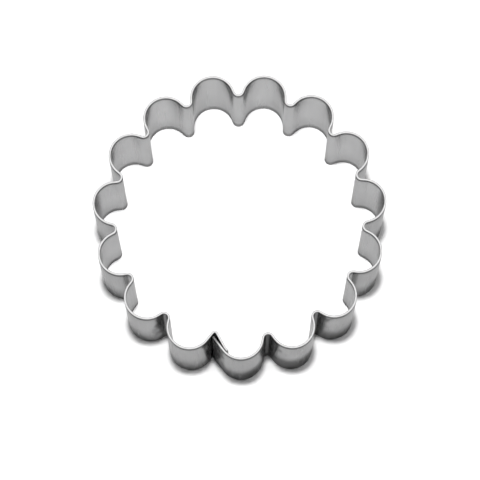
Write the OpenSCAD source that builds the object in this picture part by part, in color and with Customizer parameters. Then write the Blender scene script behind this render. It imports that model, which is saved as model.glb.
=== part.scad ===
/* [Ring] */
// Number of outward lobes round the ring
lobes = 15; // [11:1:24]
// Overall diameter, across the outsides of the lobes
outer_d = 68; // [64:0.5:76]
// Depth of the scallops, from the outsides of the lobes in to the plain folds
scallop_depth = 5.65; // [4.2:0.05:7]
// Radius of a plain inward fold, at the middle of the sheet
fold_r = 1.15; // [0.9:0.05:1.6]
// Length of the straight flank between a plain fold and a lobe
flank_l = 0.85; // [0.2:0.05:2]

/* [Strip] */
// Width of the strip, which is the height of the cutter
band_h = 25; // [15:1:50]
// Thickness of the sheet metal
sheet = 0.5; // [0.3:0.05:0.6]

/* [Lapped seam] */
// Radius of the tighter fold that holds the seam, at the middle of the sheet
seam_fold_r = 0.55; // [0.45:0.05:1]
// How much further in that fold reaches than the plain folds
seam_depth = 0.5; // [0:0.1:0.8]
// Gap between the two layers where they run together round the lobe
lap_gap = 0.1; // [0.05:0.01:0.2]
// Wider gap between the two layers beside the seam's fold
fold_gap = 0.7; // [0.4:0.05:0.8]
// Clearance from the under layer's end to the far wall of the seam's fold
end_gap = 0.3; // [0.1:0.05:0.5]
// Length of the over layer past the point from which the two run together, up to its end
over_arc = 0.7; // [0.5:0.05:1.5]

/* [Spot welds] */
// Diameter of a spot weld
weld_d = 1.6; // [1:0.1:2]
// Distance between the two spot welds, up the seam
weld_pitch = 9; // [4:0.5:12]
// Distance from the over layer's end back to a spot weld's centre
weld_inset = 1; // [0.9:0.1:1.4]

/* [Hidden] */
$fn = 96;

// Turn from one lobe to the next, and the direction of the fold that holds the seam. The lobe after
// it points along -Y.
pitch = 360 / lobes;
seam_a = -90 - pitch / 2;

// The plain folds stand clear_r from the ring's axis, and their centres lie on one circle. The lobes'
// radius is the one for which a straight flank of the length asked for touches both a fold and a lobe,
// with the lobe's outside on outer_d.
clear_r = outer_d / 2 - scallop_depth;
fold_centre_r = clear_r + sheet / 2 + fold_r;
crest_r = outer_d / 2 - sheet / 2;
fold_run = fold_centre_r * cos(pitch / 2);
lobe_r =
    (pow(crest_r, 2) - 2 * crest_r * fold_run + pow(fold_centre_r, 2) - pow(fold_r, 2) - pow(flank_l, 2))
    / (2 * (crest_r - fold_run + fold_r));
lobe_centre = (crest_r - lobe_r) * [cos(pitch / 2), sin(pitch / 2)];

// The centre of the seam's fold lies further in
seam_centre_r = clear_r - seam_depth + sheet / 2 + seam_fold_r;

// With a fold's centre on +X, at a distance of centre_r from the ring's axis: the way from there to
// the centre of the next lobe. A straight flank touches a bend of radius rf about the one and a bend of
// radius rl about the other. The direction of the points where it touches, and its length.
function way(centre_r) = lobe_centre - [centre_r, 0];
function flank_dir(centre_r, rf, rl) =
    atan2(way(centre_r)[1], way(centre_r)[0]) + acos((rf + rl) / norm(way(centre_r)));
function flank_len(centre_r, rf, rl) = sqrt(pow(norm(way(centre_r)), 2) - pow(rf + rl, 2));

// A plain flank, the far wall of the seam's fold, the over layer, which goes on round that fold and
// lies inside the next lobe, and the under layer, which runs straight on into that fold
plain_dir = flank_dir(fold_centre_r, fold_r, lobe_r);
far_dir = flank_dir(seam_centre_r, seam_fold_r, lobe_r);
lap = sheet + lap_gap;
over_r = lobe_r - lap;
over_dir = flank_dir(seam_centre_r, seam_fold_r, over_r);
under_r = seam_fold_r - sheet - fold_gap;
under_dir = flank_dir(seam_centre_r, under_r, lobe_r);

// The under layer's end, measured along it from the point that lies nearest to the fold's centre. Its
// corner stays end_gap away from the far wall, which it runs up to at this angle.
end_a = under_dir + far_dir - 180;
under_end = (end_gap - seam_fold_r + sheet / 2 - (under_r - sheet / 2) * cos(end_a)) / sin(end_a);

// The strip as it is bent, from the under layer's end, round the ring, to the over layer's end. A leg
// is [length] for a straight stretch or [radius, angle] for a bend, to the left where it is positive.
function degrees(arc, r) = arc / r * 180 / PI;
function lobe(dir_before, dir_after) = [lobe_r, pitch + 360 - dir_before - dir_after];
fold = [[flank_l], [fold_r, 2 * plain_dir - 360], [flank_l]];
legs = [
    [flank_len(seam_centre_r, under_r, lobe_r) - under_end],
    lobe(under_dir, plain_dir),
    for (i = [3 : lobes]) each concat(fold, [lobe(plain_dir, plain_dir)]),
    each fold,
    lobe(plain_dir, far_dir),
    [flank_len(seam_centre_r, seam_fold_r, lobe_r)],
    [seam_fold_r, far_dir + over_dir - 360],
    [flank_len(seam_centre_r, seam_fold_r, over_r)],
    [over_r, under_dir - over_dir + degrees(over_arc, over_r)]
];

// A straight stretch is a hair thinner than a bend and reaches a little way into it, so that the two
// join as one solid. The reach is short enough to keep its corners inside the bend.
shy = 0.001;
bite = 0.7 * sqrt(2 * shy * (min(fold_r, seam_fold_r) + sheet / 2));

// Lays the legs end to end, each from where the one before it stops, along +X at first
module strip(i = 0) {
    if (i < len(legs)) {
        size = legs[i][0];
        turn = legs[i][1];
        if (is_undef(turn)) {
            back = i == 0 ? 0 : bite;
            translate([-back, shy - sheet / 2]) square([back + size + bite, sheet - 2 * shy]);
            translate([size, 0]) strip(i + 1);
        } else {
            centre = [0, sign(turn) * size];
            translate(centre) {
                bend(size, turn);
                rotate(turn) translate(-centre) strip(i + 1);
            }
        }
    }
}

// A bend about the origin that starts along +X. Its ends are cut by two half planes, which both have
// to hold it up to half a turn, and either one beyond that.
module bend(r, turn) {
    far = 2 * r;
    intersection() {
        difference() {
            circle(r + sheet / 2);
            circle(r - sheet / 2);
        }
        if (abs(turn) > 180) {
            translate([0, -far]) square([far, 2 * far]);
            rotate(turn) translate([-far, -far]) square([far, 2 * far]);
        } else {
            intersection() {
                translate([0, -far]) square([far, 2 * far]);
                rotate(turn) translate([-far, -far]) square([far, 2 * far]);
            }
        }
    }
}

// The whole strip stood on edge, with the under layer's end in the seam's fold
module scalloped_band() {
    color([0.70, 0.70, 0.71])
        linear_extrude(band_h)
        rotate(seam_a) translate([seam_centre_r, 0])
        rotate(under_dir - 90) translate([under_end, under_r])
        strip();
}

// A spot weld fills the gap between the two layers, square to them, at height z
module spot_weld(z) {
    weld_dir = under_dir - 180 + degrees(over_arc - weld_inset, over_r);
    color([0.45, 0.45, 0.47])
        difference() {
            rotate(seam_a) translate([lobe_centre[0], lobe_centre[1], z])
                rotate([0, 90, weld_dir]) translate([0, 0, over_r])
                cylinder(d = weld_d, h = lap);
            scalloped_band();
        }
}

module upper_spot_weld() {
    spot_weld((band_h + weld_pitch) / 2);
}

module lower_spot_weld() {
    spot_weld((band_h - weld_pitch) / 2);
}

scalloped_band();
upper_spot_weld();
lower_spot_weld();
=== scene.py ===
# %% [markdown]
# # A scalloped biscuit cutter
#
# The object is one thin strip of satin sheet metal, stood on edge and bent into a ring of round lobes
# with tight folds between them. Its two ends lap in one fold and are held by two spot welds. This
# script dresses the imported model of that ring: it sweeps a finer strip with rounded edges along the
# same path, gives it a satin metal, and lights it softly on a white floor.

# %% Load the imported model
import math
from collections import namedtuple

import bmesh
import bpy
from mathutils import Matrix, Vector


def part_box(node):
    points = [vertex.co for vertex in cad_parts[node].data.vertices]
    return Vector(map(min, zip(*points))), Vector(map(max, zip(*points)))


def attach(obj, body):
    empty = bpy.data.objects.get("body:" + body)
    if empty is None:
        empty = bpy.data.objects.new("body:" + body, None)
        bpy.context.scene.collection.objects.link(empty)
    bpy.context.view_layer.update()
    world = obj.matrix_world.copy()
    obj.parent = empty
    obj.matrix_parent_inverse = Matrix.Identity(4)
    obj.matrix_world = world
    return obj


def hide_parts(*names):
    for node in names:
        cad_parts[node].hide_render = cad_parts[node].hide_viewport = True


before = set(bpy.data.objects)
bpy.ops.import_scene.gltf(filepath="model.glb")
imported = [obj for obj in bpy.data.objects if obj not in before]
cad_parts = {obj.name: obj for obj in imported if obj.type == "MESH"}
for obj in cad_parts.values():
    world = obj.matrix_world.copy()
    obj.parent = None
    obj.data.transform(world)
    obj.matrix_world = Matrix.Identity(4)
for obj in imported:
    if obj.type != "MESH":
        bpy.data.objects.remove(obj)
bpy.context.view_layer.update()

# %% [markdown]
# ## The path of the strip
#
# The ring is easiest to describe the way it is made: as a list of straight stretches and bends. A few
# sizes fix all of it. The lobes' radius isn't chosen but worked out, because only one radius lets a
# straight flank of the given length touch both a fold and a lobe. All sizes are in metres, and the
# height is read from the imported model.

# %% Sizes of the ring
MM = 0.001
LOBES = 15
OUTER_D = 68 * MM
SCALLOP_DEPTH = 5.65 * MM
FOLD_R = 1.15 * MM
FLANK_L = 0.85 * MM
SHEET = 0.5 * MM

band_low, band_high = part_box("scalloped_band")
BAND_H = band_high[2] - band_low[2]

pitch = 2 * math.pi / LOBES
clear_r = OUTER_D / 2 - SCALLOP_DEPTH
fold_centre_r = clear_r + SHEET / 2 + FOLD_R
crest_r = OUTER_D / 2 - SHEET / 2
fold_run = fold_centre_r * math.cos(pitch / 2)
lobe_r = (crest_r**2 - 2 * crest_r * fold_run + fold_centre_r**2 - FOLD_R**2 - FLANK_L**2) / (
    2 * (crest_r - fold_run + FOLD_R))
lobe_centre_r = crest_r - lobe_r
print("height", round(BAND_H, 5), "lobe radius", round(lobe_r, 6))


# %% Straight flanks that touch a fold and a lobe
def flank(centre_r, fold_radius, lobe_radius):
    """For a fold whose centre is centre_r from the ring's axis, and the next lobe: the direction of the
    points that the flank between them touches, and the flank's length."""
    way = Vector((lobe_centre_r * math.cos(pitch / 2) - centre_r, lobe_centre_r * math.sin(pitch / 2)))
    both = fold_radius + lobe_radius
    return math.atan2(way.y, way.x) + math.acos(both / way.length), math.sqrt(way.length_squared - both**2)


plain_dir, plain_len = flank(fold_centre_r, FOLD_R, lobe_r)
print("plain flank", round(plain_len, 6), "at", round(math.degrees(plain_dir), 2))

# %% [markdown]
# ## The lapped seam
#
# One fold is tighter than the others and reaches further in, because it holds the strip's free end. The
# under layer comes out of the lobe on the right, runs straight on into that fold and stops just short
# of its far wall. The over layer comes from the left, goes round the fold and lies inside the same lobe
# for a short way. So the gap between the two is a wedge that closes towards the welds.

# %% Sizes of the lapped seam
SEAM_FOLD_R = 0.55 * MM
SEAM_DEPTH = 0.5 * MM
LAP_GAP = 0.1 * MM
FOLD_GAP = 0.7 * MM
END_GAP = 0.3 * MM
OVER_ARC = 0.7 * MM

seam_dir = -math.pi / 2 - pitch / 2
seam_centre_r = clear_r - SEAM_DEPTH + SHEET / 2 + SEAM_FOLD_R
over_r = lobe_r - SHEET - LAP_GAP
under_r = SEAM_FOLD_R - SHEET - FOLD_GAP
far_dir, far_len = flank(seam_centre_r, SEAM_FOLD_R, lobe_r)
over_dir, over_len = flank(seam_centre_r, SEAM_FOLD_R, over_r)
under_dir, under_len = flank(seam_centre_r, under_r, lobe_r)
end_angle = under_dir + far_dir - math.pi
past_centre = SEAM_FOLD_R - SHEET / 2 - END_GAP
under_end = -(past_centre + (under_r - SHEET / 2) * math.cos(end_angle)) / math.sin(end_angle)
print("far wall", round(far_len, 6), "over", round(over_len, 6), "under", round(under_len - under_end, 6))

# %% The legs of the strip, from one end to the other
TURN = 2 * math.pi


def lobe(dir_before, dir_after):
    return ("bend", lobe_r, pitch + TURN - dir_before - dir_after)


plain_fold = [("straight", plain_len), ("bend", FOLD_R, 2 * plain_dir - TURN), ("straight", plain_len)]
legs = [("straight", under_len - under_end), lobe(under_dir, plain_dir)]
for _ in range(LOBES - 2):
    legs += plain_fold + [lobe(plain_dir, plain_dir)]
legs += plain_fold + [lobe(plain_dir, far_dir), ("straight", far_len)]
legs += [("bend", SEAM_FOLD_R, far_dir + over_dir - TURN), ("straight", over_len)]
legs.append(("bend", over_r, under_dir - over_dir + OVER_ARC / over_r))
print(len(legs), "legs")

# %% [markdown]
# ## The strip
#
# A sheet metal strip has the same cross-section all along, so the natural tool is a sweep. The
# cross-section starts as one face from create_grid, scaled to the sheet's thickness and the strip's
# width, and its corners get a small bevel, because a sheared edge is never razor sharp and the round
# catches a thin line of light. Then the outline of that face is carried along the legs: a straight
# leg is an extrude and a move, and a bend is a spin about the bend's own centre.

# %% The cross-section
EDGE_ROUND = 0.12 * MM
EDGE_STEPS = 4


def cross_section(bm):
    """Leaves the cross-section's outline, upright, with its thickness along Y. Its points on the
    ring's outer side are marked, and everything that is extruded from them keeps the mark."""
    outer_mark = bm.verts.layers.int.new("outer")
    bmesh.ops.create_grid(bm, x_segments=1, y_segments=1, size=0.5)
    bmesh.ops.scale(bm, vec=(SHEET, BAND_H, 1), verts=bm.verts)
    bmesh.ops.bevel(bm, geom=bm.verts[:], offset=EDGE_ROUND, offset_type="OFFSET", segments=EDGE_STEPS,
                    profile=0.5, affect="VERTICES", material=-1)
    bmesh.ops.delete(bm, geom=bm.faces[:], context="FACES_ONLY")
    bmesh.ops.rotate(bm, cent=(0, 0, 0), matrix=Matrix.Rotation(math.pi / 2, 3, "X"), verts=bm.verts)
    bmesh.ops.rotate(bm, cent=(0, 0, 0), matrix=Matrix.Rotation(math.pi / 2, 3, "Z"), verts=bm.verts)
    bmesh.ops.translate(bm, vec=(0, 0, BAND_H / 2), verts=bm.verts)
    for vert in bm.verts:
        vert[outer_mark] = 1 if vert.co.y < 0 else 0
    return bm.edges[:]


# %% Carry the outline along the legs
BEND_STEP = math.radians(4)


def towards(angle):
    """A step of length 1 along the floor, in the direction of an angle from +X."""
    return Vector((math.cos(angle), math.sin(angle), 0))


def sweep(bm, outline, place, heading):
    """Extrudes along the straight legs and spins round the bends. Returns the last outline."""
    bmesh.ops.rotate(bm, cent=(0, 0, 0), matrix=Matrix.Rotation(heading, 3, "Z"), verts=bm.verts)
    bmesh.ops.translate(bm, vec=place, verts=bm.verts)
    for leg in legs:
        along = towards(heading)
        if leg[0] == "straight":
            made = bmesh.ops.extrude_edge_only(bm, edges=outline)["geom"]
            new_verts = [g for g in made if isinstance(g, bmesh.types.BMVert)]
            bmesh.ops.translate(bm, vec=along * leg[1], verts=new_verts)
            outline = [g for g in made if isinstance(g, bmesh.types.BMEdge)
                       and all(v in new_verts for v in g.verts)]
            place = place + along * leg[1]
            continue
        radius, turn = leg[1], leg[2]
        left = Vector((-along.y, along.x, 0)) * math.copysign(1, turn)
        centre = place + left * radius
        verts = list(dict.fromkeys(v for e in outline for v in e.verts))
        spun = bmesh.ops.spin(bm, geom=verts + outline, cent=centre, axis=(0, 0, 1), dvec=(0, 0, 0),
                              angle=turn, steps=math.ceil(abs(turn) / BEND_STEP), use_merge=False,
                              use_normal_flip=False, use_duplicate=False)
        outline = [g for g in spun["geom_last"] if isinstance(g, bmesh.types.BMEdge)]
        place = centre + Matrix.Rotation(turn, 3, "Z") @ (place - centre)
        heading += turn
    return outline


# %% Build the strip
bm = bmesh.new()
first_outline = cross_section(bm)
start_heading = seam_dir + under_dir - math.pi / 2
seam_fold = towards(seam_dir) * seam_centre_r
start = seam_fold + Matrix.Rotation(start_heading, 3, "Z") @ Vector((under_end, under_r, 0))
last_outline = sweep(bm, first_outline, start, start_heading)
for outline in (first_outline, last_outline):
    bmesh.ops.edgeloop_fill(bm, edges=outline)
bmesh.ops.recalc_face_normals(bm, faces=bm.faces)
print("swept", len(bm.faces), "faces, open edges", sum(not e.is_manifold for e in bm.edges))

# %% [markdown]
# ## Cuts across the strip
#
# A swept wall is one tall face from edge to edge. Long thin faces shade badly, and a rounded edge beside
# one pulls its shading askew. So the strip is cut by level planes into rows of even height, with one thin
# row along each sheared edge that keeps the edge's shading to itself. bisect_plane does this to a whole
# mesh at once and leaves its outline as it is.

# %% Rows across the height
UP = (0, 0, 1)
ROW_STEP = 2.5 * MM
RIM_ROW = 0.3 * MM
SAME_POINT = 1e-7


def cut(faces, point, normal):
    """Cuts these faces along a plane."""
    edges = list(dict.fromkeys(e for f in faces for e in f.edges))
    verts = list(dict.fromkeys(v for f in faces for v in f.verts))
    bmesh.ops.bisect_plane(bm, geom=verts + edges + faces, dist=SAME_POINT, plane_co=point, plane_no=normal)


even_rows = [ROW_STEP * i for i in range(1, round(BAND_H / ROW_STEP))]
for height in [RIM_ROW, BAND_H - RIM_ROW] + even_rows:
    cut(bm.faces[:], (0, 0, height), UP)
print("with rows", len(bm.faces), "faces, volume mm3", round(bm.calc_volume() * 1e9, 1))

# %% [markdown]
# ## The weld dents
#
# The lap is welded between two copper electrodes, and each one leaves a shallow round dent in the sheet
# it pressed on. The dents are real geometry: the faces round each weld are cut into a fine grid, and the
# grid's points are pushed into the sheet with a flat-bottomed profile. Only the few faces near a weld
# are cut, so the rest of the strip stays light.

# %% Where the welds are
WELD_PITCH = 9 * MM
WELD_INSET = 1 * MM

lobe_middle = towards(-math.pi / 2) * lobe_centre_r
weld_dir = seam_dir + under_dir - math.pi + (OVER_ARC - WELD_INSET) / over_r
weld_out = towards(weld_dir)
weld_along = towards(weld_dir + math.pi / 2)
mid_lap = lobe_middle + weld_out * (over_r + (SHEET + LAP_GAP) / 2)
weld_spots = [mid_lap + Vector(UP) * (BAND_H + side * WELD_PITCH) / 2 for side in (1, -1)]
print("weld spots", [[round(v, 5) for v in spot] for spot in weld_spots])

# %% Cut a fine grid round each weld
GRID_STEP = 0.2 * MM
GRID_HALF = 6
NEAR_WELD = 2 * MM

for spot in weld_spots:
    for across in (Vector(UP), weld_along):
        for step in range(-GRID_HALF, GRID_HALF + 1):
            near = [f for f in bm.faces if (f.calc_center_median() - spot).length < NEAR_WELD]
            cut(near, spot + across * step * GRID_STEP, across)
print("with the grids", len(bm.faces), "faces")

# %% Push the dents in
DENT_R = 0.95 * MM
DENT_DEPTH = 0.06 * MM
BOTTOM_FLATNESS = 4
CLOSE_TO_FACE = 0.02 * MM

outside_from = lobe_r + SHEET / 2 - CLOSE_TO_FACE
inside_to = over_r - SHEET / 2 + CLOSE_TO_FACE
dented = 0
for vert in bm.verts:
    between_faces = inside_to < (vert.co - lobe_middle).xy.length < outside_from
    for spot in weld_spots:
        offset = vert.co - spot
        outward = offset.dot(weld_out)
        from_axis = (offset - weld_out * outward).length
        if between_faces or from_axis > DENT_R or offset.length > NEAR_WELD:
            continue
        depth = DENT_DEPTH * (1 - (from_axis / DENT_R)**BOTTOM_FLATNESS)
        vert.co -= weld_out * math.copysign(depth, outward)
        dented += 1
print("dented points", dented, "volume mm3", round(bm.calc_volume() * 1e9, 1))

# %% [markdown]
# ## Faces for three finishes
#
# The strip is one piece of metal, but its finish isn't the same everywhere: the two rolled faces are
# satin, and the sheared edges are bright. The outer face is a slightly darker copy of the inner one, which
# is painted shade for the darker paper that the outer walls mirror. One mesh can carry several
# materials, and each face says which one it has.

# %% Give each face its finish
INNER, SHEARED, OUTER = 0, 1, 2
LEVEL = 0.97


def on_cut(face):
    """Whether a face lies on one of the sheared edges, which are level, or is a cut end of the strip,
    which is the only kind of face with many corners that is nearly as tall as the strip."""
    heights = [v.co.z for v in face.verts]
    is_end = len(face.verts) > 4 and max(heights) - min(heights) > BAND_H / 2
    return is_end or abs(face.normal.z) > LEVEL


outer_mark = bm.verts.layers.int["outer"]
for face in bm.faces:
    face.smooth = True
    if on_cut(face):
        face.material_index = SHEARED
    elif all(v[outer_mark] for v in face.verts):
        face.material_index = OUTER
bm.verts.layers.int.remove(outer_mark)

mesh = bpy.data.meshes.new("cutter_strip")
bm.to_mesh(mesh)
bm.free()
strip = bpy.data.objects.new("cutter_strip", mesh)
bpy.context.scene.collection.objects.link(strip)
finishes = [p.material_index for p in mesh.polygons]
print("faces by finish", [finishes.count(i) for i in (INNER, SHEARED, OUTER)])

# %% [markdown]
# ## Satin metal
#
# Rolled tinplate is a metal, so nearly all of its look is reflection, and its colour is the tint of
# that reflection. What tells it from a mirror is a fine satin: roughness that varies a little, and
# faint upright streaks where the forming tool dragged along the sheet. The streaks are noise that is
# squeezed across the sheet and stretched along Z.

# %% Helpers for shader nodes
NOISE_DETAIL = 3.0
NOISE_MIDDLE = (0.3, 0.7)


def metal(name):
    """A new metal material with its nodes, links and shader."""
    material = bpy.data.materials.new(name)
    material.use_nodes = True
    nodes, links = material.node_tree.nodes, material.node_tree.links
    shader = nodes["Principled BSDF"]
    shader.inputs["Metallic"].default_value = 1.0
    return material, nodes, links, shader


def noise_of(nodes, links, scale):
    """Noise on Object coordinates, with this many features per metre along X, Y and Z."""
    coords = nodes.new("ShaderNodeTexCoord")
    mapping = nodes.new("ShaderNodeMapping")
    mapping.inputs["Scale"].default_value = scale
    noise = nodes.new("ShaderNodeTexNoise")
    noise.inputs["Scale"].default_value = 1.0
    noise.inputs["Detail"].default_value = NOISE_DETAIL
    links.new(coords.outputs["Object"], mapping.inputs["Vector"])
    links.new(mapping.outputs["Vector"], noise.inputs["Vector"])
    return noise.outputs["Fac"]


def ranged(nodes, links, noise, low, high):
    """Maps the middle of a noise, where nearly all of its values lie, to a range of values."""
    node = nodes.new("ShaderNodeMapRange")
    node.inputs["From Min"].default_value = NOISE_MIDDLE[0]
    node.inputs["From Max"].default_value = NOISE_MIDDLE[1]
    node.inputs["To Min"].default_value = low
    node.inputs["To Max"].default_value = high
    links.new(noise, node.inputs["Value"])
    return node.outputs["Result"]


# %% Helpers that mix colours, calculate and make bumps
def mixed(nodes, links, share, first, second):
    """Mixes two colours by a share from 0 to 1. The first may come from another node."""
    mix = nodes.new("ShaderNodeMix")
    mix.data_type = "RGBA"
    links.new(share, mix.inputs["Factor"])
    if isinstance(first, tuple):
        mix.inputs["A"].default_value = (*first, 1)
    else:
        links.new(first, mix.inputs["A"])
    mix.inputs["B"].default_value = (*second, 1)
    return mix.outputs["Result"]


def math_of(nodes, links, operation, first, second):
    """The result of a Math node. Each value is a number or comes from another node."""
    node = nodes.new("ShaderNodeMath")
    node.operation = operation
    for socket, value in zip(node.inputs, (first, second)):
        if isinstance(value, float):
            socket.default_value = value
        else:
            links.new(value, socket)
    return node.outputs["Value"]


def bumped(nodes, links, shader, height, strength, distance):
    bump = nodes.new("ShaderNodeBump")
    bump.inputs["Strength"].default_value = strength
    bump.inputs["Distance"].default_value = distance
    links.new(height, bump.inputs["Height"])
    links.new(bump.outputs["Normal"], shader.inputs["Normal"])


# %% [markdown]
# ## Painted shade and heat tint on the sheet
#
# The metal isn't evenly bright here. Most of the darkening is painted shade: a thin dark line below both
# sheared edges, a darker foot, darker patches at the left and right crests and at the front foot, and
# darker folds at the front. They stand in for shadow on the paper, its reflection in the walls, and the
# dark reflection of the rounded edges. Only the welds' darkening is the metal's own: heat has dulled them.
# Each darkening is a share from 0 to 1 that falls off with the distance from a point, measured along some
# of the axes only: along Z it makes a level line, along X and Y an upright patch. They work on Object
# coordinates, so they stay in place when the cutter is moved.

# %% A darkening falls off with the distance from a point
# A darkening is painted shade, except round the welds, where it is the metal's own heat tint.
Darkening = namedtuple("Darkening", "axes centre full_at none_at most")


def darkening_share(nodes, links, darkening, raggedness=None):
    """How strong a darkening is: the most up to one distance from its centre, and nothing from another. Its
    axes say how much each axis counts in the distance."""
    coords = nodes.new("ShaderNodeTexCoord")
    counted = nodes.new("ShaderNodeVectorMath")
    counted.operation = "MULTIPLY"
    counted.inputs[1].default_value = darkening.axes
    links.new(coords.outputs["Object"], counted.inputs[0])
    away = nodes.new("ShaderNodeVectorMath")
    away.operation = "DISTANCE"
    away.inputs[1].default_value = Vector(darkening.centre) * Vector(darkening.axes)
    links.new(counted.outputs["Vector"], away.inputs[0])
    distance = away.outputs["Value"]
    if raggedness:
        distance = math_of(nodes, links, "ADD", distance, raggedness)
    share = nodes.new("ShaderNodeMapRange")
    share.interpolation_type = "SMOOTHSTEP"
    share.inputs["From Min"].default_value = darkening.none_at
    share.inputs["From Max"].default_value = darkening.full_at
    share.inputs["To Max"].default_value = darkening.most
    links.new(distance, share.inputs["Value"])
    return share.outputs["Result"]


# %% Painted shade along the two edges: dark lines, a faint darkening at the top and a darker foot
RIM = (0, 0, BAND_H)
ORIGIN = (0, 0, 0)
# top_fade darkens the top 5 mm faintly, under the painted dark line.
top_fade = Darkening(UP, RIM, 0, 5 * MM, 0.09)
# Painted shade: a dark line below the upper edge, for the dark reflection of the rounded edge.
top_shade_line = {
    "inner": Darkening(UP, RIM, 0.6 * MM, 1.6 * MM, 0.92),
    "outer": Darkening(UP, RIM, 0.9 * MM, 1.9 * MM, 0.71),
}
# Painted shade: a dark line along the foot, for the reflected contact shadow.
low_shade_line = {
    "inner": Darkening(UP, ORIGIN, 1.2 * MM, 3.6 * MM, 0.62),
    "outer": Darkening(UP, ORIGIN, 0.5 * MM, 2 * MM, 0.4),
}
# Painted shade: the lower part of the walls is darker, for the reflection of the paper's shadow.
foot_shade = {
    "inner": Darkening(UP, ORIGIN, 3 * MM, 11 * MM, 0.13),
    "outer": Darkening(UP, ORIGIN, 2 * MM, 13 * MM, 0.33),
}
print("dark line below the upper edge, mm", [round(f.none_at / MM, 1) for f in top_shade_line.values()])

# %% Painted shade at the left and right crests and at the front foot, heat tint at the welds, and the lap, where the painted dark line is left out
ROUND = (1, 1, 0)
SIDEWAYS = (1, 0, 0)
ALL_WAYS = (1, 1, 1)
WIDE = (0.5, 0.5, 1)
FRONT_FOOT = (11 * MM, -32 * MM, 0)
LAP_TURN_RAD = 0.04
LAP_OUT = 1.3 * MM

# Painted shade inside the left and right crests, for the shadowed paper that they mirror.
side_shade_patches = Darkening(SIDEWAYS, ORIGIN, 33.3 * MM, 32 * MM, 0.55)
# Painted shade at the front foot, for the reflected shadow in front of the ring.
front_shade_patch = {
    "inner": Darkening(WIDE, FRONT_FOOT, 3 * MM, 10 * MM, 0.1),
    "outer": Darkening(WIDE, FRONT_FOOT, 7 * MM, 14 * MM, 0.68),
}
weld_tints = [Darkening(ALL_WAYS, spot, 0.8 * MM, 1.3 * MM, 0.9) for spot in weld_spots]
# The painted dark line below the upper edge is left out round the lap.
lap_middle = towards(seam_dir + LAP_TURN_RAD) * (seam_centre_r + LAP_OUT)
lap_clearing = Darkening(ROUND, lap_middle, 1.4 * MM, 2.6 * MM, 0.85)
print("middle of the lap, mm", [round(v / MM, 2) for v in lap_middle])

# %% Painted shade in the folds, which is strong towards the front only
FRONT_TO_BACK = (0, 1, 0)
FRONT = (0, -34 * MM, 0)
# Painted shade in the creases between the lobes, on their outer side.
fold_shade = Darkening(ROUND, ORIGIN, 29.8 * MM, 31.8 * MM, 0.74)
front_only = Darkening(FRONT_TO_BACK, FRONT, 8 * MM, 15 * MM, 1.0)
RAGGED_BY = 1.8 * MM
RAGGED_SCALE = (520, 520, 260)


def all_darkenings(nodes, links, side):
    """The strongest darkening at each point of the inner or the outer side: painted shade, and heat tint
    round the welds.
    """
    noise = noise_of(nodes, links, RAGGED_SCALE)
    ragged = ranged(nodes, links, noise, -RAGGED_BY, RAGGED_BY)
    line = darkening_share(nodes, links, top_shade_line[side])
    outside_the_lap = math_of(nodes, links, "SUBTRACT", 1.0, darkening_share(nodes, links, lap_clearing))
    shares = [math_of(nodes, links, "MULTIPLY", line, outside_the_lap),
              darkening_share(nodes, links, foot_shade[side], ragged)]
    smooth_darkenings = [top_fade, low_shade_line[side], front_shade_patch[side], *weld_tints]
    if side == "inner":
        smooth_darkenings.append(side_shade_patches)
    else:
        grease = darkening_share(nodes, links, fold_shade, ragged)
        at_the_front = darkening_share(nodes, links, front_only)
        shares.append(math_of(nodes, links, "MULTIPLY", grease, at_the_front))
    shares += [darkening_share(nodes, links, darkening) for darkening in smooth_darkenings]
    darkest = shares[0]
    for share in shares[1:]:
        darkest = math_of(nodes, links, "MAXIMUM", darkest, share)
    return darkest


# %% [markdown]
# ## The satin faces
#
# The colour of a metal at grazing angles is its Specular Tint. The painted shade and the welds' heat tint
# darken mostly that, and the base colour only a little, so the painted shade is plain on walls that are
# seen almost along their surface, as from above, and faint from the side.

# %% The sheet's two faces
STREAK_SCALE = (900, 900, 25)
PATCH_SCALE = (160, 160, 60)
SATIN_ROUGHNESS = (0.19, 0.30)
STREAK_BUMP = 0.2
STREAK_HEIGHT = 0.02 * MM
BASE_SHARE = 0.25
BLACK = (0, 0, 0)


def satin_sheet(side, dark, light, grazing_tint):
    material, nodes, links, shader = metal("satin_" + side)
    streaks = noise_of(nodes, links, STREAK_SCALE)
    tone = ranged(nodes, links, noise_of(nodes, links, PATCH_SCALE), 0, 1)
    clean = mixed(nodes, links, tone, dark, light)
    # Painted shade, and heat tint round the welds.
    darkenings = all_darkenings(nodes, links, side)
    in_base = math_of(nodes, links, "MULTIPLY", darkenings, BASE_SHARE)
    links.new(mixed(nodes, links, in_base, clean, BLACK), shader.inputs["Base Color"])
    grazing = mixed(nodes, links, darkenings, (grazing_tint, grazing_tint, grazing_tint), BLACK)
    links.new(grazing, shader.inputs["Specular Tint"])
    links.new(ranged(nodes, links, streaks, *SATIN_ROUGHNESS), shader.inputs["Roughness"])
    bumped(nodes, links, shader, streaks, STREAK_BUMP, STREAK_HEIGHT)
    return material


satin_inner = satin_sheet("inner", dark=(0.52, 0.52, 0.523), light=(0.60, 0.60, 0.603), grazing_tint=0.56)
# The outer face's lower grazing tint and slightly darker base are painted shade, for the darker paper
# outside the ring.
shaded_satin_outer = satin_sheet("outer", dark=(0.51, 0.51, 0.513), light=(0.60, 0.60, 0.603), grazing_tint=0.52)
print("satin nodes", len(satin_inner.node_tree.nodes), len(shaded_satin_outer.node_tree.nodes))

# %% [markdown]
# ## Bright edges and dull welds
#
# Shears leave fresh metal, which is brighter than the rolled faces and has a fine grain. The fused metal
# between the layers is the opposite: it has been molten, so it is dark, warm grey and rough. Both are
# the same recipe, a grain of noise that varies colour and roughness, with other values.

# %% The grainy metals
GRAIN_HEIGHT = 0.01 * MM


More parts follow.
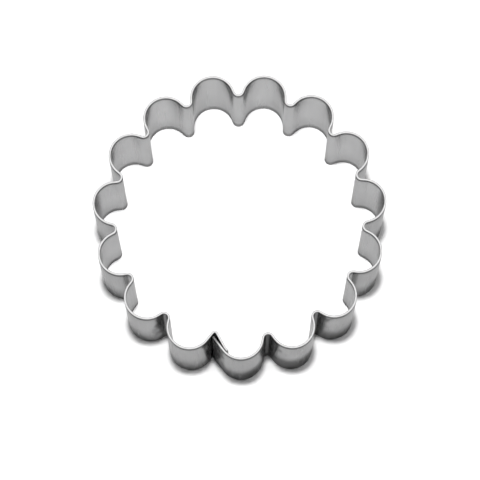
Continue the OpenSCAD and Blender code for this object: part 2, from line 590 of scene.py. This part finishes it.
def grainy_metal(name, scale, dark, light, roughness, bump_strength=0.0):
    material, nodes, links, shader = metal(name)
    grain = noise_of(nodes, links, (scale, scale, scale))
    tone = ranged(nodes, links, grain, 0, 1)
    links.new(mixed(nodes, links, tone, dark, light), shader.inputs["Base Color"])
    links.new(ranged(nodes, links, grain, *roughness), shader.inputs["Roughness"])
    if bump_strength:
        bumped(nodes, links, shader, grain, bump_strength, GRAIN_HEIGHT)
    return material


sheared_edge = grainy_metal("sheared_edge", scale=2500, dark=(0.78, 0.78, 0.78), light=(0.90, 0.90, 0.90),
                            roughness=(0.10, 0.18), bump_strength=0.1)
fused_metal = grainy_metal("fused_metal", scale=1800, dark=(0.20, 0.19, 0.19), light=(0.34, 0.33, 0.33),
                           roughness=(0.4, 0.6))

# %% Put the materials on, in the order of the faces' finishes
for material in (satin_inner, sheared_edge, shaded_satin_outer):
    strip.data.materials.append(material)
for name in ("upper_spot_weld", "lower_spot_weld"):
    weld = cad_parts[name].data
    weld.materials.clear()
    weld.materials.append(fused_metal)
print("materials", [m.name for m in bpy.data.materials])

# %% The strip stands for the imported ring
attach(strip, "root")
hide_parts("scalloped_band")
print("cutter_strip has", len(strip.data.polygons), "faces")

# %% [markdown]
# ## The floor
#
# The cutter stands on white paper. The camera and the metal don't need to see the same thing there.
# The camera sees paper that takes the cutter's shadow and turns into plain white further out, so that
# the background stays white from every side. The metal sees paper that falls off into a darker studio,
# because a white world on all sides would make it look flat. Light Path tells the two kinds of ray apart.

# %% Which rays see what
def light_path(nodes, links, *names):
    """1 for the named kinds of ray, 0 for the others."""
    path = nodes.new("ShaderNodeLightPath")
    found = path.outputs[names[0]]
    for name in names[1:]:
        found = math_of(nodes, links, "MAXIMUM", found, path.outputs[name])
    return found


# %% Paper that fades into a glow
def fading_paper(nodes, links, whiteness, glow_strength, fade_range, for_these_rays):
    """Diffuse paper near the ring that turns into an even glow over a range of distances, for some
    rays. For all other rays it is paper everywhere."""
    paper = nodes.new("ShaderNodeBsdfDiffuse")
    paper.inputs["Color"].default_value = (whiteness, whiteness, whiteness, 1)
    glow = nodes.new("ShaderNodeEmission")
    glow.inputs["Strength"].default_value = glow_strength
    coords = nodes.new("ShaderNodeTexCoord")
    distance = nodes.new("ShaderNodeVectorMath")
    distance.operation = "LENGTH"
    links.new(coords.outputs["Object"], distance.inputs[0])
    fade = nodes.new("ShaderNodeMapRange")
    fade.interpolation_type = "SMOOTHSTEP"
    fade.inputs["From Min"].default_value = fade_range[0]
    fade.inputs["From Max"].default_value = fade_range[1]
    links.new(distance.outputs["Value"], fade.inputs["Value"])
    share = math_of(nodes, links, "MULTIPLY", fade.outputs["Result"], for_these_rays)
    mix = nodes.new("ShaderNodeMixShader")
    links.new(share, mix.inputs["Fac"])
    links.new(paper.outputs["BSDF"], mix.inputs[1])
    links.new(glow.outputs["Emission"], mix.inputs[2])
    return mix.outputs["Shader"]


# %% White paper
PLAIN_WHITE = 1.0
SEEN_PAPER = 1.10
SEEN_FADE = (0.06, 0.14)
MIRRORED_PAPER = 0.95
HORIZON = 0.3
HORIZON_FADE = (0.10, 0.45)


def white_paper():
    material = bpy.data.materials.new("white_paper")
    material.use_nodes = True
    nodes, links = material.node_tree.nodes, material.node_tree.links
    nodes.remove(nodes["Principled BSDF"])
    camera_ray = light_path(nodes, links, "Is Camera Ray")
    reflected = light_path(nodes, links, "Is Glossy Ray", "Is Transmission Ray")
    seen = fading_paper(nodes, links, SEEN_PAPER, PLAIN_WHITE, SEEN_FADE, camera_ray)
    mirrored = fading_paper(nodes, links, MIRRORED_PAPER, HORIZON, HORIZON_FADE, reflected)
    mix = nodes.new("ShaderNodeMixShader")
    links.new(camera_ray, mix.inputs["Fac"])
    links.new(mirrored, mix.inputs[1])
    links.new(seen, mix.inputs[2])
    links.new(mix.outputs["Shader"], nodes["Material Output"].inputs["Surface"])
    return material


# %% Lay the paper
FLOOR_SIZE = 6.0

paper_bm = bmesh.new()
bmesh.ops.create_grid(paper_bm, x_segments=1, y_segments=1, size=FLOOR_SIZE / 2)
paper_mesh = bpy.data.meshes.new("floor")
paper_bm.to_mesh(paper_mesh)
paper_bm.free()
floor = bpy.data.objects.new("floor", paper_mesh)
bpy.context.scene.collection.objects.link(floor)
floor.data.materials.append(white_paper())
print("floor", FLOOR_SIZE, "m wide")

# %% [markdown]
# ## Light
#
# Two soft lamps hang over the cutter, a little behind its middle, a small round one and a wide one.
# Because they are close, each wall shades the paper on its outer side and leaves the inside bright, and
# the wide one softens those shadows to the left and right. The world adds a weak fill. The camera sees
# it white, and the metal sees it fall off towards a darker horizon.

# %% Lamps
LAMP_HEIGHT = 0.9
KEY_AT = Vector((-0.010, 0.013, LAMP_HEIGHT))
KEY_SIZE = (0.05, 0.05)
KEY_SHARE = 0.65
STRIP_AT = Vector((0, 0.013, LAMP_HEIGHT))
STRIP_SIZE = (0.4, 0.05)
STRIP_SHARE = 0.35


def soft_lamp(name, place, size, share):
    """A round or oval lamp over the ring that gives white paper under it this share of plain white. The
    metal doesn't mirror it, because a small bright spot would burn a hard line into every bend."""
    data = bpy.data.lights.new(name, "AREA")
    data.shape = "ELLIPSE"
    data.size, data.size_y = size
    area = math.pi / 4 * size[0] * size[1]
    light_per_brightness = area / place.length_squared * (place.z / place.length)**2
    brightness = share * math.pi / light_per_brightness
    data.energy = brightness * math.pi * area
    lamp = bpy.data.objects.new(name, data)
    lamp.location = place
    lamp.visible_glossy = False
    bpy.context.scene.collection.objects.link(lamp)
    print(name, "energy", round(data.energy, 2))


soft_lamp("key_lamp", KEY_AT, KEY_SIZE, KEY_SHARE)
soft_lamp("strip_lamp", STRIP_AT, STRIP_SIZE, STRIP_SHARE)

# %% The sky that the metal mirrors: dark at the horizon, white overhead
OVERHEAD = 1.0
SKY_RISES = (0.2, 0.95)

world = bpy.data.worlds.new("studio")
bpy.context.scene.world = world
world.use_nodes = True
nodes, links = world.node_tree.nodes, world.node_tree.links
coords = nodes.new("ShaderNodeTexCoord")
split = nodes.new("ShaderNodeSeparateXYZ")
links.new(coords.outputs["Generated"], split.inputs["Vector"])
sky = nodes.new("ShaderNodeMapRange")
sky.interpolation_type = "SMOOTHSTEP"
sky.inputs["From Min"].default_value = SKY_RISES[0]
sky.inputs["From Max"].default_value = SKY_RISES[1]
sky.inputs["To Min"].default_value = HORIZON
sky.inputs["To Max"].default_value = OVERHEAD
links.new(split.outputs["Z"], sky.inputs["Value"])
print("sky from", HORIZON, "at the horizon to", OVERHEAD, "overhead")

# %% Plain white for the camera, and a weak fill for everything else
WORLD_FILL = 0.03

seen_sky = nodes.new("ShaderNodeMix")
links.new(light_path(nodes, links, "Is Camera Ray"), seen_sky.inputs["Factor"])
links.new(sky.outputs["Result"], seen_sky.inputs["A"])
seen_sky.inputs["B"].default_value = PLAIN_WHITE
strength = nodes.new("ShaderNodeMix")
strength.inputs["A"].default_value = WORLD_FILL
links.new(seen_sky.outputs["Result"], strength.inputs["B"])
seen = light_path(nodes, links, "Is Camera Ray", "Is Glossy Ray", "Is Transmission Ray")
links.new(seen, strength.inputs["Factor"])
background = nodes["Background"]
background.inputs["Color"].default_value = (1, 1, 1, 1)
links.new(strength.outputs["Result"], background.inputs["Strength"])
print("world", world.name, "fill", WORLD_FILL)

# %% [markdown]
# ## Camera
#
# The photograph looks down steeply from the front, through a long lens. The angle, distance and lens
# come from fitting the outline of the ring to it. The aim point is a fraction of a millimetre off the
# ring's axis, which centres the picture as the photograph is centred, so no lens shift is needed.

# %% Camera
SENSOR_MM = 36
SEES_UP_TO = 10
IMAGE_WIDTH_PX = 480
FOCAL_PX = 2458.3
CAMERA_DISTANCE = 589.5 * MM
CAMERA_ELEVATION = math.radians(76.19)
CAMERA_AZIMUTH = math.radians(-0.3)
CAMERA_ROLL = math.radians(-0.31)
AIM_RIGHT_PX = 0.24
AIM_UP_PX = 0.29

back = Vector((0, -math.cos(CAMERA_ELEVATION), math.sin(CAMERA_ELEVATION)))
back.rotate(Matrix.Rotation(CAMERA_AZIMUTH, 3, "Z"))
right = Matrix.Rotation(CAMERA_ROLL, 3, back) @ towards(CAMERA_AZIMUTH)
up = back.cross(right)
metres_per_px = CAMERA_DISTANCE / FOCAL_PX
aim = (right * AIM_RIGHT_PX + up * AIM_UP_PX) * metres_per_px

camera_data = bpy.data.cameras.new("camera")
camera_data.sensor_width = SENSOR_MM
camera_data.lens = FOCAL_PX / IMAGE_WIDTH_PX * SENSOR_MM
camera_data.clip_end = SEES_UP_TO
camera = bpy.data.objects.new("camera", camera_data)
camera.location = aim + back * CAMERA_DISTANCE
camera.rotation_euler = Matrix((right, up, back)).transposed().to_euler()
bpy.context.scene.collection.objects.link(camera)
bpy.context.scene.camera = camera
bpy.context.scene.view_settings.view_transform = "Standard"
print("camera at", [round(v, 4) for v in camera.location])
